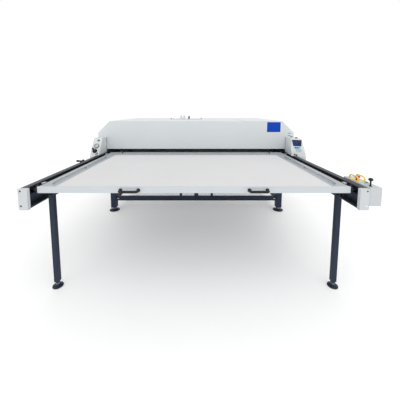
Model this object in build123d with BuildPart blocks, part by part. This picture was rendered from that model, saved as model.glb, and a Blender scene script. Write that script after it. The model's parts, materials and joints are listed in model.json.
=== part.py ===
from build123d import *
import os

# Drawer-type flat heat press. Millimetres. X across, Y from the operator to the back, Z up.
# Origin on the floor, in the middle of the outline. The drawer table stands pulled out.

# ---- driving dimensions ----
FRONT, BACK = -1339, 1339          # front of the end caps, back of the hood
BEAM_IN, BEAM_OUT = 1083, 1143     # side beams, inner and outer face
BEAM_LOW, BEAM_TOP = 760, 900
BEAM_FLANGE, BEAM_WEB = 10, 7
CAP_DEPTH, CAP_WALL = 25, 3
CAP_SCREW_X, CAP_SCREW_Z = 1126, (786, 886)
SHEET = 3                          # hood sheet thickness
JOINT = 0.1                        # gap at a butt joint between two members
HOOD_FRONT, HOOD_HALF = 48, 1224
HOOD_LOW, HOOD_SHOULDER, HOOD_TOP = 934, 1138, 1282
TOP_HALF, TOP_SEAM = 1075, 622
POST_X, POST_SIZE = 1168, 75
POST_MID_Y, POST_BACK_Y = 353, 1220
LEG_X, LEG_Y, LEG_SIZE = (-1103, 1113), -1062, 38
FRAME_Y = (353, 840)               # the two press frames
TABLE_HALF, TABLE_FRONT, TABLE_BACK = 1050, -1289, -5
TABLE_LOW, DECK_LOW, DECK_TOP = 856, 888, 896
PAD_HALF, PAD_FRONT, PAD_BACK, PAD_TOP = 930, -1279, -194, 902
WHEEL_R, AXLE_R, AXLE_Z = 18, 8, 868
AXLE_FRONT_Y, AXLE_BACK_Y = -1225, -60
RAIL_TOP = AXLE_Z - WHEEL_R - 0.3
HANDLE_X, HANDLE_Z, HANDLE_SPAN, HANDLE_OUT, GRIP_R = 432, 876, 120, 34, 9
PLATEN_HALF, PLATEN_FRONT, PLATEN_BACK, PLATEN_LOW = 940, 62, 1130, 935
PLATEN_T, INSULATION_T, COVER_T = 28, 36, 8
CONSOLE_IN, CONSOLE_OUT, CONSOLE_TOP, CONSOLE_LOW = 1121, 1222, 1085, 790
BOX_OUT, BOX_BACK, BOX_LOW, BOX_TOP = 1221, -1066, 787, 908

os.makedirs("parts", exist_ok=True)


def block(x0, x1, y0, y1, z0, z1, mode=Mode.ADD):
    """Add a box between two corners to the part being built."""
    with Locations(((x0 + x1) / 2, (y0 + y1) / 2, (z0 + z1) / 2)):
        Box(x1 - x0, y1 - y0, z1 - z0, mode=mode)


def side_block(side, x0, x1, y0, y1, z0, z1, mode=Mode.ADD):
    """A box on the left (-1) or right (+1) side, its X given as distance from the middle."""
    block(min(side * x0, side * x1), max(side * x0, side * x1), y0, y1, z0, z1, mode)


def rod_along(axis, x, y, z, radius, length, mode=Mode.ADD):
    """A round bar centred on a point, along X, Y or Z."""
    turn = {"x": (0, 90, 0), "y": (90, 0, 0), "z": (0, 0, 0)}[axis]
    with Locations((x, y, z)):
        Cylinder(radius, length, rotation=turn, mode=mode)


def save(part, name):
    """Label a finished piece and write it."""
    part.label = name
    export_step(part, f"parts/{name}.step")


# ---- frame under the table ----
def side_beam(side):
    """A channel that opens towards the table."""
    with BuildPart() as beam:
        side_block(side, BEAM_IN, BEAM_OUT, FRONT + CAP_DEPTH, 1327, BEAM_LOW, BEAM_TOP)
        side_block(side, BEAM_IN - 1, BEAM_OUT - BEAM_WEB, FRONT, 1330,
                   BEAM_LOW + BEAM_FLANGE, BEAM_TOP - BEAM_FLANGE, Mode.SUBTRACT)
    return beam.part


save(side_beam(-1), "side_beam_left")
save(side_beam(1), "side_beam_right")

with BuildPart() as running_rails:
    for side in (-1, 1):
        side_block(side, 1100, BEAM_OUT - BEAM_WEB, -1300, 1320, RAIL_TOP - 12, RAIL_TOP)
save(running_rails.part, "running_rails")

with BuildPart() as end_caps:
    for side in (-1, 1):
        side_block(side, BEAM_IN - 2, BEAM_OUT - 0.3, FRONT, FRONT + CAP_DEPTH, BEAM_LOW - 2, BEAM_TOP)
    fillet(end_caps.edges().group_by(Axis.Y)[0], 2.5)
    for side in (-1, 1):
        side_block(side, BEAM_IN + 1, BEAM_OUT - CAP_WALL, FRONT + CAP_WALL, FRONT + CAP_DEPTH,
                   BEAM_LOW + 1, BEAM_TOP - CAP_WALL, Mode.SUBTRACT)
        for z in CAP_SCREW_Z:
            rod_along("y", side * CAP_SCREW_X, FRONT, z, 6.3, 4 * CAP_WALL, Mode.SUBTRACT)
save(end_caps.part, "end_caps")

with BuildPart() as cap_screws:
    for side in (-1, 1):
        for z in CAP_SCREW_Z:
            rod_along("y", side * CAP_SCREW_X, FRONT + CAP_WALL / 2, z, 6, CAP_WALL)
save(cap_screws.part, "cap_screws")

with BuildPart() as front_legs:
    for side, x in zip((-1, 1), LEG_X):
        half = LEG_SIZE / 2
        block(x - half, x + half, LEG_Y - half, LEG_Y + half, 44, BEAM_LOW - 8 - JOINT)
        side_block(side, BEAM_IN, BEAM_OUT - 2, LEG_Y - 50, LEG_Y + 50, BEAM_LOW - 8, BEAM_LOW)
save(front_legs.part, "front_legs")

with BuildPart() as hood_posts:
    for side in (-1, 1):
        for y in (POST_MID_Y, POST_BACK_Y):
            half = POST_SIZE / 2
            side_block(side, POST_X - half, POST_X + half, y - half, y + half, 46, BEAM_LOW - 10 - JOINT)
            side_block(side, BEAM_IN + 2, POST_X + half, y - half, y + half, BEAM_LOW - 10, BEAM_LOW)
save(hood_posts.part, "hood_posts")


def levelling_foot(x, y, disc_r, post_low):
    """A round disc with a threaded stem and its lock nut, as one closed body of revolution."""
    with BuildPart() as foot:
        with BuildSketch(Plane.XZ):
            with BuildLine():
                Polyline((0, 0), (disc_r, 0), (disc_r, 7), (disc_r * 0.45, 15), (14, 20), (14, post_low - 9),
                         (19, post_low - 9), (19, post_low), (0, post_low), close=True)
            make_face()
        revolve(axis=Axis.Z)
    return foot.part.moved(Location((x, y, 0)))


with BuildPart() as levelling_feet:
    for side, leg_x in zip((-1, 1), LEG_X):
        add(levelling_foot(leg_x, LEG_Y, 40, 44))
        add(levelling_foot(side * POST_X, POST_MID_Y, 70, 46))
        add(levelling_foot(side * POST_X, POST_BACK_Y, 70, 46))
save(levelling_feet.part, "levelling_feet")

with BuildPart() as lower_frame:
    inner = POST_X - POST_SIZE / 2
    for y in (POST_MID_Y, POST_BACK_Y):
        block(-inner, inner, y - 21, y + 21, 144, 204)
    for side in (-1, 1):
        side_block(side, 1131, 1173, POST_MID_Y + POST_SIZE / 2, POST_BACK_Y - POST_SIZE / 2, 144, 204)
    for x, width in ((-219, 33), (0, 58), (219, 33)):
        block(x - width / 2, x + width / 2, POST_MID_Y - 16, POST_MID_Y + 16, 204 + JOINT, 640)
save(lower_frame.part, "lower_frame")

# ---- press bed and press frames ----
with BuildPart() as bed_frame:
    block(-1130.5, 1130.5, FRAME_Y[0] - 37, FRAME_Y[0] + 37, 640, 750)
    block(-BEAM_OUT, BEAM_OUT, FRAME_Y[1] - 37, FRAME_Y[1] + 37, 640, 750)
    for x in (-900, -450, 0, 450, 900):
        block(x - 20, x + 20, 66, 1290, 750 + JOINT, 838 - JOINT)
    block(-1040, 1040, 60, 1296, 838, 850)
save(bed_frame.part, "bed_frame")

with BuildPart() as press_frame:
    for side in (-1, 1):
        side_block(side, BEAM_OUT, 1203, FRAME_Y[0] - 30, FRAME_Y[0] + 30, BEAM_LOW, 1136)
        side_block(side, BEAM_OUT, 1203, FRAME_Y[1] - 30, FRAME_Y[1] + 30, 640, 1136)
        side_block(side, 440, 520, 120, 1080, 1136 + JOINT, 1216)
    for y in FRAME_Y:
        block(-BEAM_OUT + JOINT, BEAM_OUT - JOINT, y - 40, y + 40, 1046, 1136)
save(press_frame.part, "press_frame")

CYLINDER_PLACES = [(x, y) for x in (-480, 480) for y in (230, 962)]
GUIDE_PLACES = [(x, y) for x in (-800, 800) for y in (FRAME_Y[0] - 70, FRAME_Y[1] + 70)]

with BuildPart() as press_cylinders:
    for x, y in CYLINDER_PLACES:
        rod_along("z", x, y, (1040 + 1136) / 2, 50, 96)
        block(x - 55, x + 55, y - 55, y + 55, 1128, 1136)
        rod_along("z", x, y, 1085, 45, 74, Mode.SUBTRACT)
        rod_along("z", x, y, 1044, 12.8, 20, Mode.SUBTRACT)
save(press_cylinders.part, "press_cylinders")

with BuildPart() as guide_blocks:
    for x, y in GUIDE_PLACES:
        block(x - 30, x + 30, y - 30, y + 30, 1056, 1126)
        rod_along("z", x, y, 1090, 15.3, 80, Mode.SUBTRACT)
save(guide_blocks.part, "guide_blocks")

# ---- heated platen ----
platen_top = PLATEN_LOW + PLATEN_T
insulation_top = platen_top + INSULATION_T
cover_top = insulation_top + COVER_T
with BuildPart() as platen_plate:
    block(-PLATEN_HALF, PLATEN_HALF, PLATEN_FRONT, PLATEN_BACK, PLATEN_LOW, platen_top)
    fillet(platen_plate.edges().group_by(Axis.Z)[0], 3)
save(platen_plate.part, "platen_plate")

with BuildPart() as platen_insulation:
    block(-PLATEN_HALF + 6, PLATEN_HALF - 6, PLATEN_FRONT + 6, PLATEN_BACK - 6, platen_top, insulation_top)
save(platen_insulation.part, "platen_insulation")

with BuildPart() as platen_cover:
    block(-PLATEN_HALF, PLATEN_HALF, PLATEN_FRONT, PLATEN_BACK, insulation_top, cover_top)
save(platen_cover.part, "platen_cover")

with BuildPart() as platen_rods:
    for x, y in CYLINDER_PLACES:
        rod_along("z", x, y, (cover_top + 1100) / 2, 12.5, 1100 - cover_top)
        rod_along("z", x, y, 1100, 44.7, 14)
        block(x - 40, x + 40, y - 40, y + 40, cover_top, cover_top + 10)
    for x, y in GUIDE_PLACES:
        rod_along("z", x, y, (cover_top + 1150) / 2, 15, 1150 - cover_top)
        block(x - 35, x + 35, y - 35, y + 35, cover_top, cover_top + 10)
save(platen_rods.part, "platen_rods")

# ---- hood ----
with BuildPart() as hood_front:
    with BuildSketch(Plane.XZ.offset(-HOOD_FRONT - SHEET)):
        Polygon((-HOOD_HALF, HOOD_LOW), (HOOD_HALF, HOOD_LOW), (HOOD_HALF, HOOD_SHOULDER), (TOP_HALF, HOOD_TOP),
                (-TOP_HALF, HOOD_TOP), (-HOOD_HALF, HOOD_SHOULDER), align=None)
    extrude(amount=SHEET)
save(hood_front.part, "hood_front")

slope_rise = HOOD_TOP - HOOD_SHOULDER
slope_run = HOOD_HALF - TOP_HALF
sheet_drop = SHEET * (slope_rise ** 2 + slope_run ** 2) ** 0.5 / slope_run
with BuildPart() as hood_top:
    block(-TOP_HALF, TOP_SEAM - 0.5, HOOD_FRONT + SHEET, BACK - SHEET, HOOD_TOP - SHEET, HOOD_TOP)
    block(TOP_SEAM + 0.5, TOP_HALF, HOOD_FRONT + SHEET, BACK - SHEET, HOOD_TOP - SHEET, HOOD_TOP)
    block(-390, 80, 540, 840, HOOD_TOP + JOINT, HOOD_TOP + 8)
save(hood_top.part, "hood_top")

with BuildPart() as hood_corners:
    for side in (-1, 1):
        with BuildSketch(Plane.XZ.offset(-BACK + SHEET)):
            Polygon((side * HOOD_HALF, HOOD_SHOULDER), (side * TOP_HALF, HOOD_TOP),
                    (side * TOP_HALF, HOOD_TOP - sheet_drop),
                    (side * (HOOD_HALF - sheet_drop * slope_run / slope_rise), HOOD_SHOULDER), align=None)
        extrude(amount=BACK - HOOD_FRONT - 2 * SHEET)
save(hood_corners.part, "hood_corners")

with BuildPart() as hood_sides:
    for side in (-1, 1):
        side_block(side, HOOD_HALF - SHEET, HOOD_HALF, HOOD_FRONT + SHEET, BACK - SHEET, BEAM_LOW, HOOD_SHOULDER)
save(hood_sides.part, "hood_sides")

with BuildPart() as hood_rear:
    with BuildSketch(Plane.XZ.offset(-BACK)):
        Polygon((-HOOD_HALF, BEAM_LOW), (HOOD_HALF, BEAM_LOW), (HOOD_HALF, HOOD_SHOULDER), (TOP_HALF, HOOD_TOP),
                (-TOP_HALF, HOOD_TOP), (-HOOD_HALF, HOOD_SHOULDER), align=None)
        with Locations((-700, 1080), (0, 1080), (700, 1080)):
            with GridLocations(0, 26, 1, 6):
                SlotOverall(180, 9, mode=Mode.SUBTRACT)
    extrude(amount=SHEET)
save(hood_rear.part, "hood_rear")

with BuildPart() as badge_plate:
    block(885, 1054, HOOD_FRONT - 1.5, HOOD_FRONT, 1145, 1270)
save(badge_plate.part, "badge_plate")

with BuildPart() as top_fittings:
    plate_top = HOOD_TOP + 8
    for x in (-230, -186):
        block(x - 15, x + 15, 675, 705, plate_top, plate_top + 52)
    rod_along("z", -113, 690, plate_top + 22, 11.5, 44)
    for x in (-382, 73):
        rod_along("z", x, 690, plate_top + 7, 7, 14)
    rod_along("z", -611, 690, HOOD_TOP + 5, 14, 10)
save(top_fittings.part, "top_fittings")

# ---- consoles ----
CONSOLE_BACK = HOOD_FRONT
LEFT_PROFILE = [(90, BEAM_TOP), (90, CONSOLE_TOP), (-62, CONSOLE_TOP), (-186, BEAM_TOP)]
LEFT_SKIRT = [(90, CONSOLE_LOW), (90, BEAM_TOP + 1), (-186, BEAM_TOP + 1), (-192, CONSOLE_LOW)]
RIGHT_PROFILE = [(180, BEAM_TOP), (180, CONSOLE_TOP), (-124, CONSOLE_TOP), (-231, 950), (-247, BEAM_TOP)]
RIGHT_SKIRT = [(180, CONSOLE_LOW), (180, BEAM_TOP + 1), (-247, BEAM_TOP + 1), (-252, CONSOLE_LOW)]
RIGHT_SHEAR = -44 / (CONSOLE_OUT - CONSOLE_IN)    # the right console's face turns towards the operator
LEAN_SLOPE, TURN_SLOPE, TURN_Y = 33 / 135, 33 / 278, 48  # its inner side swells towards the front foot


def console(side, profile, skirt, shear, slope, turn):
    """A sheet shell that stands on the beam and reaches down outside it, open at the back and below."""
    wall = 2.5
    inner = CONSOLE_IN - slope * (CONSOLE_TOP - BEAM_TOP)

    def lean(inset):
        face, far = CONSOLE_IN + inset, CONSOLE_IN - 80
        top, low = CONSOLE_TOP, BEAM_TOP - 20
        with BuildSketch(Plane.XZ.offset(400), mode=Mode.PRIVATE) as wedge:
            Polygon((side * far, top + 20), (side * face, top + 20), (side * face, top),
                    (side * (face - slope * (top - low)), low), (side * far, low), align=None)
        extrude(wedge.sketch, amount=-700, mode=Mode.SUBTRACT)
        with BuildSketch(Plane.XY.offset(low), mode=Mode.PRIVATE) as plan:
            Polygon((side * far, 320), (side * face, 320), (side * face, TURN_Y),
                    (side * (face - turn * (TURN_Y + 350)), -350), (side * far, -350), align=None)
        extrude(plan.sketch, amount=top + 20 - low, mode=Mode.SUBTRACT)

    def prism(points, x0, x1, inset, mode):
        plane = Plane(origin=(side * x0, shear * (x0 - CONSOLE_IN), 0), x_dir=(0, side, 0), z_dir=(side, 0, 0))
        with BuildSketch(plane, mode=Mode.PRIVATE) as outline:
            Polygon(*[(side * y, z) for y, z in points], align=None)
            if inset:
                offset(amount=-inset, kind=Kind.INTERSECTION)
        along = Vector(side, shear, 0)
        extrude(outline.sketch, amount=(x1 - x0) * along.length, dir=along, mode=mode)

    with BuildPart() as hollow:
        prism(profile, inner - 1, CONSOLE_OUT - wall, wall, Mode.ADD)
        lean(wall)
        prism(skirt, BEAM_OUT + 2 + wall, CONSOLE_OUT - wall, wall, Mode.ADD)
    with BuildPart() as shell:
        prism(profile, inner - 1, CONSOLE_OUT, 0, Mode.ADD)
        lean(0)
        prism(skirt, BEAM_OUT + 2, CONSOLE_OUT, 0, Mode.ADD)
        add(hollow.part, mode=Mode.SUBTRACT)
        side_block(side, inner - 1, CONSOLE_OUT, CONSOLE_BACK, 400, CONSOLE_LOW - 1, CONSOLE_TOP + 1,
                   Mode.SUBTRACT)
    return shell


console_left = console(-1, LEFT_PROFILE, LEFT_SKIRT, 0, 0, 0)
console_right = console(1, RIGHT_PROFILE, RIGHT_SKIRT, RIGHT_SHEAR, LEAN_SLOPE, TURN_SLOPE)


def panel_plane(side, low, high, shear):
    """The plane of a console's sloping face, its Y axis up the slope."""
    middle_x = (CONSOLE_IN + CONSOLE_OUT) / 2
    middle_y = (low[0] + high[0]) / 2 + shear * (middle_x - CONSOLE_IN)
    across = Vector(1, side * shear, 0).normalized()
    up_slope = Vector(0, high[0] - low[0], high[1] - low[1]).normalized()
    return Plane(origin=(side * middle_x, middle_y, (low[1] + high[1]) / 2), x_dir=across,
                 z_dir=across.cross(up_slope).normalized())


LEFT_PANEL = panel_plane(-1, (-186, BEAM_TOP), (-62, CONSOLE_TOP), 0)
RIGHT_PANEL = panel_plane(1, (-231, 950), (-124, CONSOLE_TOP), RIGHT_SHEAR)
RIGHT_LOWER = panel_plane(1, (-247, BEAM_TOP), (-231, 950), RIGHT_SHEAR)

GAUGE_AT, REGULATOR_AT, VALVE_AT = (3, 3), (-4, -62), (-24.5, -41.5)
ROCKER_AT, FITTING_AT = (10, 78), (24, -98)
FACE_SHIFT, FACE_SKEW = -10, -0.106               # sideways offset of the right face's bezel, and its run per unit up
DISPLAY_AT = (-15, 20)
KEYS_AT = [(-25, -36), (-6, -36), (13, -36)]
SMALL_KNOBS_AT = [(-56, -9), (-35, -14)]


def shaft_hole(shell, plane, place, radius):
    """Cut a round hole through a console's wall, square to its face."""
    with BuildSketch(plane.offset(6), mode=Mode.PRIVATE) as hole:
        with Locations(place):
            Circle(radius)
    with shell:
        extrude(hole.sketch, amount=-18, mode=Mode.SUBTRACT)


shaft_hole(console_left, LEFT_PANEL, GAUGE_AT, 22)
shaft_hole(console_left, LEFT_PANEL, REGULATOR_AT, 7)
shaft_hole(console_left, LEFT_PANEL, VALVE_AT, 5)
for place in KEYS_AT:
    shaft_hole(console_right, RIGHT_PANEL, place, 5)
for place in SMALL_KNOBS_AT:
    shaft_hole(console_right, RIGHT_LOWER, place, 4)
save(console_left.part, "console_left")
save(console_right.part, "console_right")


def turned(plane, place, steps):
    """Stacked discs on a panel: each step is (radius, from, to) measured out of the face."""
    with BuildPart() as piece:
        for radius, low, high in steps:
            with BuildSketch(plane.offset(low)):
                with Locations(place):
                    Circle(radius)
            extrude(amount=high - low)
    return piece.part


gauge_body = turned(LEFT_PANEL, GAUGE_AT, [(21.5, -30, 0), (26, 0, 14)])
with BuildPart() as gauge_case:
    add(gauge_body)
    with BuildSketch(LEFT_PANEL.offset(4)):
        with Locations(GAUGE_AT):
            Circle(23)
    extrude(amount=10, mode=Mode.SUBTRACT)
save(gauge_case.part, "gauge_case")

with BuildPart() as gauge_needle:
    add(turned(LEFT_PANEL, GAUGE_AT, [(3, 5, 8)]))
    with BuildSketch(LEFT_PANEL.offset(6)):
        with Locations((GAUGE_AT[0] - 7, GAUGE_AT[1] - 7)):
            Rectangle(20, 1.6, rotation=45)
    extrude(amount=1)
save(gauge_needle.part, "gauge_needle")

save(turned(LEFT_PANEL, REGULATOR_AT, [(6, -14, 0.5), (25, 0.5, 20)]), "regulator_knob")
save(turned(LEFT_PANEL, VALVE_AT, [(4, -14, 0.5), (2.5, 0.5, 21.5), (11.5, 21.5, 32)]), "valve_knob")

with BuildPart() as rocker:
    with BuildSketch(LEFT_PANEL.offset(1.6)):
        with Locations(ROCKER_AT):
            Rectangle(20, 11)
    extrude(amount=3.4)
    with Locations(LEFT_PANEL.location * Location((*ROCKER_AT, 1.6))):
        Cylinder(1.4, 20, rotation=(0, 90, 0))
save(rocker.part, "rocker")

with BuildPart() as display_bezel:
    with BuildSketch(RIGHT_PANEL):
        outline = [(u + FACE_SHIFT + v * FACE_SKEW, v) for u, v in ((-52, 66), (52, 66), (42, -14), (-42, -14))]
        Polygon(*outline, align=None)
    extrude(amount=3)
    with BuildSketch(RIGHT_PANEL.offset(1.5)):
        with Locations(DISPLAY_AT):
            Rectangle(64, 46)
    extrude(amount=2, mode=Mode.SUBTRACT)
save(display_bezel.part, "display_bezel")

with BuildPart() as instrument_windows:
    with BuildSketch(RIGHT_PANEL.offset(1.5)):
        with Locations(DISPLAY_AT):
            Rectangle(63.6, 45.6)
    extrude(amount=1.2)
    with BuildSketch(LEFT_PANEL.offset(11.4)):
        with Locations(GAUGE_AT):
            Circle(22.9)
    extrude(amount=2)
save(instrument_windows.part, "instrument_windows")

for name, place in zip(("key_down", "key_up", "key_enter"), KEYS_AT):
    save(turned(RIGHT_PANEL, place, [(4.5, -9, 2.2), (8, 2.2, 5.2)]), name)
for name, place in zip(("timer_knob", "buzzer_knob"), SMALL_KNOBS_AT):
    save(turned(RIGHT_LOWER, place, [(3.4, -10, 0.6), (8, 0.6, 16)]), name)

with BuildPart() as lamps:
    rod_along("z", 1191, -98, CONSOLE_TOP + 6.5, 16, 13)
    rod_along("z", 1176, 2, CONSOLE_TOP + 6.5, 14, 13)
save(lamps.part, "lamps")

# ---- right control box ----
START_X, START_Y, START_R = 1182, -1250, 9.4
STOP_X, STOP_Y, GUARD_RISE = 1178, -1165, 36
with BuildPart() as control_box:
    block(BEAM_OUT, BOX_OUT, FRONT, BOX_BACK, BOX_LOW, BOX_TOP)
    fillet(control_box.edges().filter_by(Axis.Z), 3)
    block(BEAM_OUT + 3, BOX_OUT - 3, FRONT + 3, BOX_BACK - 3, BOX_LOW - 1, BOX_TOP - 3, Mode.SUBTRACT)
    rod_along("z", 1178, -1165, BOX_TOP, 11, 10, Mode.SUBTRACT)
    rod_along("z", START_X, START_Y, BOX_TOP, START_R + 0.4, 10, Mode.SUBTRACT)
    rod_along("z", 1170, -1300, BOX_TOP, 7, 10, Mode.SUBTRACT)
save(control_box.part, "control_box")

with BuildPart() as estop_guard:
    block(STOP_X - 28, STOP_X + 28, STOP_Y - 46, STOP_Y + 52, BOX_TOP, BOX_TOP + 2)
    rod_along("z", STOP_X, STOP_Y, BOX_TOP, 13, 20, Mode.SUBTRACT)
    for arch_x in (STOP_X - 24, STOP_X + 24):
        with BuildSketch(Plane(origin=(arch_x - 4, 0, 0), x_dir=(0, 1, 0), z_dir=(1, 0, 0))):
            with Locations((STOP_Y + 3, BOX_TOP)):
                RectangleRounded(94, 2 * GUARD_RISE, 24)
                RectangleRounded(80, 2 * GUARD_RISE - 14, 17, mode=Mode.SUBTRACT)
            with Locations((STOP_Y, BOX_TOP - 40)):
                Rectangle(120, 80, mode=Mode.SUBTRACT)
        extrude(amount=8)
save(estop_guard.part, "estop_guard")

with BuildPart() as button_bases:
    rod_along("z", START_X, START_Y, BOX_TOP + 4.5, 12.5, 9)
    rod_along("z", START_X, START_Y, BOX_TOP + 4.5, START_R + 0.4, 10, Mode.SUBTRACT)
    rod_along("z", 1170, -1300, BOX_TOP + 1.5, 10, 3)
    rod_along("z", 1170, -1300, BOX_TOP + 1.5, 7.2, 4, Mode.SUBTRACT)
    with BuildSketch(LEFT_PANEL):
        with Locations(ROCKER_AT):
            Rectangle(25, 16)
            Rectangle(21, 12, mode=Mode.SUBTRACT)
    extrude(amount=3)
    with BuildSketch(LEFT_PANEL):
        with Locations(FITTING_AT):
            SlotOverall(34, 10, rotation=35)
    extrude(amount=8)
save(button_bases.part, "button_bases")

with BuildPart() as estop_button:
    rod_along("z", STOP_X, STOP_Y, BOX_TOP + 26, 18, 12)
    fillet(estop_button.edges().group_by(Axis.Z)[-1], 7)
    rod_along("z", STOP_X, STOP_Y, BOX_TOP + 7, 10.5, 28)
save(estop_button.part, "estop_button")

with BuildPart() as start_button:
    rod_along("z", START_X, START_Y, BOX_TOP + 1, START_R, 26)
    fillet(start_button.edges().group_by(Axis.Z)[-1], 2)
save(start_button.part, "start_button")

with BuildPart() as joystick:
    rod_along("z", 1170, -1300, BOX_TOP + 45, 14.5, 23)
    fillet(joystick.edges(), 9)
    rod_along("z", 1170, -1300, BOX_TOP + 16, 4.8, 36)
    with Locations((1170, -1300, BOX_TOP - 2)):
        Sphere(5.5)
save(joystick.part, "joystick")

# ---- lock lever on the left beam ----
LEVER_Y, LEVER_Z = -505, 895
with BuildPart() as lever_bracket:
    block(-BEAM_OUT - 16, -BEAM_OUT, LEVER_Y - 30, LEVER_Y - 22, LEVER_Z - 20, LEVER_Z + 16)
    block(-BEAM_OUT - 16, -BEAM_OUT, LEVER_Y + 22, LEVER_Y + 30, LEVER_Z - 20, LEVER_Z + 16)
save(lever_bracket.part, "lever_bracket")

with BuildPart() as lock_lever:
    rod_along("y", -BEAM_OUT - 10, LEVER_Y, LEVER_Z + 6, 8, 43)
    block(-BEAM_OUT - 48, -BEAM_OUT - 8, LEVER_Y - 6, LEVER_Y + 6, LEVER_Z, LEVER_Z + 12)
    rod_along("x", -BEAM_OUT - 50, LEVER_Y, LEVER_Z + 6, 10, 22)
save(lock_lever.part, "lock_lever")

# ---- drawer table ----
with BuildPart() as table_frame:
    for side in (-1, 1):
        side_block(side, 1010, TABLE_HALF, -1285, TABLE_BACK, TABLE_LOW, DECK_LOW)
    rib_half = 1010 - JOINT
    block(-rib_half, rib_half, -1285, -1245, TABLE_LOW, DECK_LOW)
    block(-rib_half, rib_half, -40, TABLE_BACK, TABLE_LOW, DECK_LOW)
    for y in (-1040, -845, -650, -455, -260):
        block(-rib_half, rib_half, y - 15, y + 15, TABLE_LOW, DECK_LOW)
    for y in (AXLE_FRONT_Y, AXLE_BACK_Y):
        for side in (-1, 1):
            rod_along("x", side * 1030, y, AXLE_Z, AXLE_R + 0.3, 60, Mode.SUBTRACT)
save(table_frame.part, "table_frame")

with BuildPart() as table_deck:
    block(-TABLE_HALF, TABLE_HALF, -1285, TABLE_BACK, DECK_LOW, DECK_TOP)
    block(-TABLE_HALF, TABLE_HALF, TABLE_BACK - 8, TABLE_BACK, DECK_LOW, BEAM_TOP)
    fillet(table_deck.edges().filter_by(Axis.Z), 2)
save(table_deck.part, "table_deck")

with BuildPart() as table_fascia:
    block(-TABLE_HALF, TABLE_HALF, TABLE_FRONT, -1285, TABLE_LOW, BEAM_TOP)
    block(-TABLE_HALF, TABLE_HALF, -1285, -1280, DECK_TOP, BEAM_TOP)
save(table_fascia.part, "table_fascia")

with BuildPart() as pad:
    block(-PAD_HALF, PAD_HALF, PAD_FRONT, PAD_BACK, DECK_TOP, PAD_TOP)
    fillet(pad.edges().filter_by(Axis.Z), 6)
save(pad.part, "pad")

with BuildPart() as clamp_rods:
    for side in (-1, 1):
        rod_along("y", side * 984, -765, DECK_TOP + 10, 3.5, 910)
        for y in (-1215, -765, -315):
            side_block(side, 978, 990, y - 6, y + 6, DECK_TOP, DECK_TOP + 16)
save(clamp_rods.part, "clamp_rods")

with BuildPart() as handles:
    for x in (-HANDLE_X, HANDLE_X):
        half = HANDLE_SPAN / 2
        grip_y = TABLE_FRONT - HANDLE_OUT
        with BuildLine() as handle_path:
            FilletPolyline((x - half, TABLE_FRONT, HANDLE_Z), (x - half, grip_y, HANDLE_Z),
                           (x + half, grip_y, HANDLE_Z), (x + half, TABLE_FRONT, HANDLE_Z), radius=12)
        with BuildSketch(Plane(origin=(x - half, TABLE_FRONT, HANDLE_Z), z_dir=(0, -1, 0))):
            Circle(GRIP_R)
        sweep(path=handle_path.line)
        for end in (-half, half):
            rod_along("y", x + end, TABLE_FRONT - 2, HANDLE_Z, 13, 4)
save(handles.part, "handles")

with BuildPart() as carriages:
    for axle_y, inward, outer_end in ((AXLE_FRONT_Y, 1, -1285), (AXLE_BACK_Y, -1, TABLE_BACK - 4)):
        for side in (-1, 1):
            y0, y1 = sorted((outer_end, axle_y + inward * 60))
            side_block(side, 1058, 1066, y0, y1, 836, 893)
            side_block(side, TABLE_HALF, 1058, y0 + 4, y1 - 4, 858, 884)
            y0, y1 = sorted((axle_y + inward * 20, axle_y + inward * 51))
            side_block(side, TABLE_HALF, 1080, y0, y1, 893, 898)
            side_block(side, TABLE_HALF, 1058, y0, y1, 884, 893)
            rod_along("x", side * 1060, axle_y, AXLE_Z, AXLE_R + 0.3, 40, Mode.SUBTRACT)
save(carriages.part, "carriages")

with BuildPart() as guide_pads:
    for axle_y, inward in ((AXLE_FRONT_Y, 1), (AXLE_BACK_Y, -1)):
        for side in (-1, 1):
            y0, y1 = sorted((axle_y - inward * 37, axle_y - inward * 15))
            side_block(side, 1066, 1082.5, y0, y1, 880, 898)
    fillet(guide_pads.edges().filter_by(Axis.Z), 3)
save(guide_pads.part, "guide_pads")

for name, axle_y in (("front_wheelset", AXLE_FRONT_Y), ("rear_wheelset", AXLE_BACK_Y)):
    with BuildPart() as wheelset:
        rod_along("x", 0, axle_y, AXLE_Z, AXLE_R, 2210)
        for side in (-1, 1):
            rod_along("x", side * 1114, axle_y, AXLE_Z, WHEEL_R, 22)
    save(wheelset.part, name)

# ---- services at the back, under the bed ----
with BuildPart() as electrics_cabinet:
    block(520, 1000, 1130, 1300, 420, 750)
    fillet(electrics_cabinet.edges().filter_by(Axis.Z), 4)
    block(-1130.5, 1130.5, 1300 + JOINT, 1320, 700, 750)
save(electrics_cabinet.part, "electrics_cabinet")

with BuildPart() as cable_gland:
    rod_along("z", 760, 1272, 410, 16, 20)
    rod_along("z", 760, 1272, 392, 12, 16)
    rod_along("z", 760, 1272, 402, 6, 36, Mode.SUBTRACT)
save(cable_gland.part, "cable_gland")

with BuildPart() as air_unit:
    block(-1130.5, -1080, 1195, 1245, 560, 610)
    rod_along("z", -1105, 1220, 530, 20, 60)
    rod_along("z", -1105, 1220, 618, 16, 16)
    rod_along("y", -1105, 1257, 585, 6.5, 24)
save(air_unit.part, "air_unit")
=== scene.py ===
import json
import math

import bmesh
import bpy
from mathutils import Matrix, Vector


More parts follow.
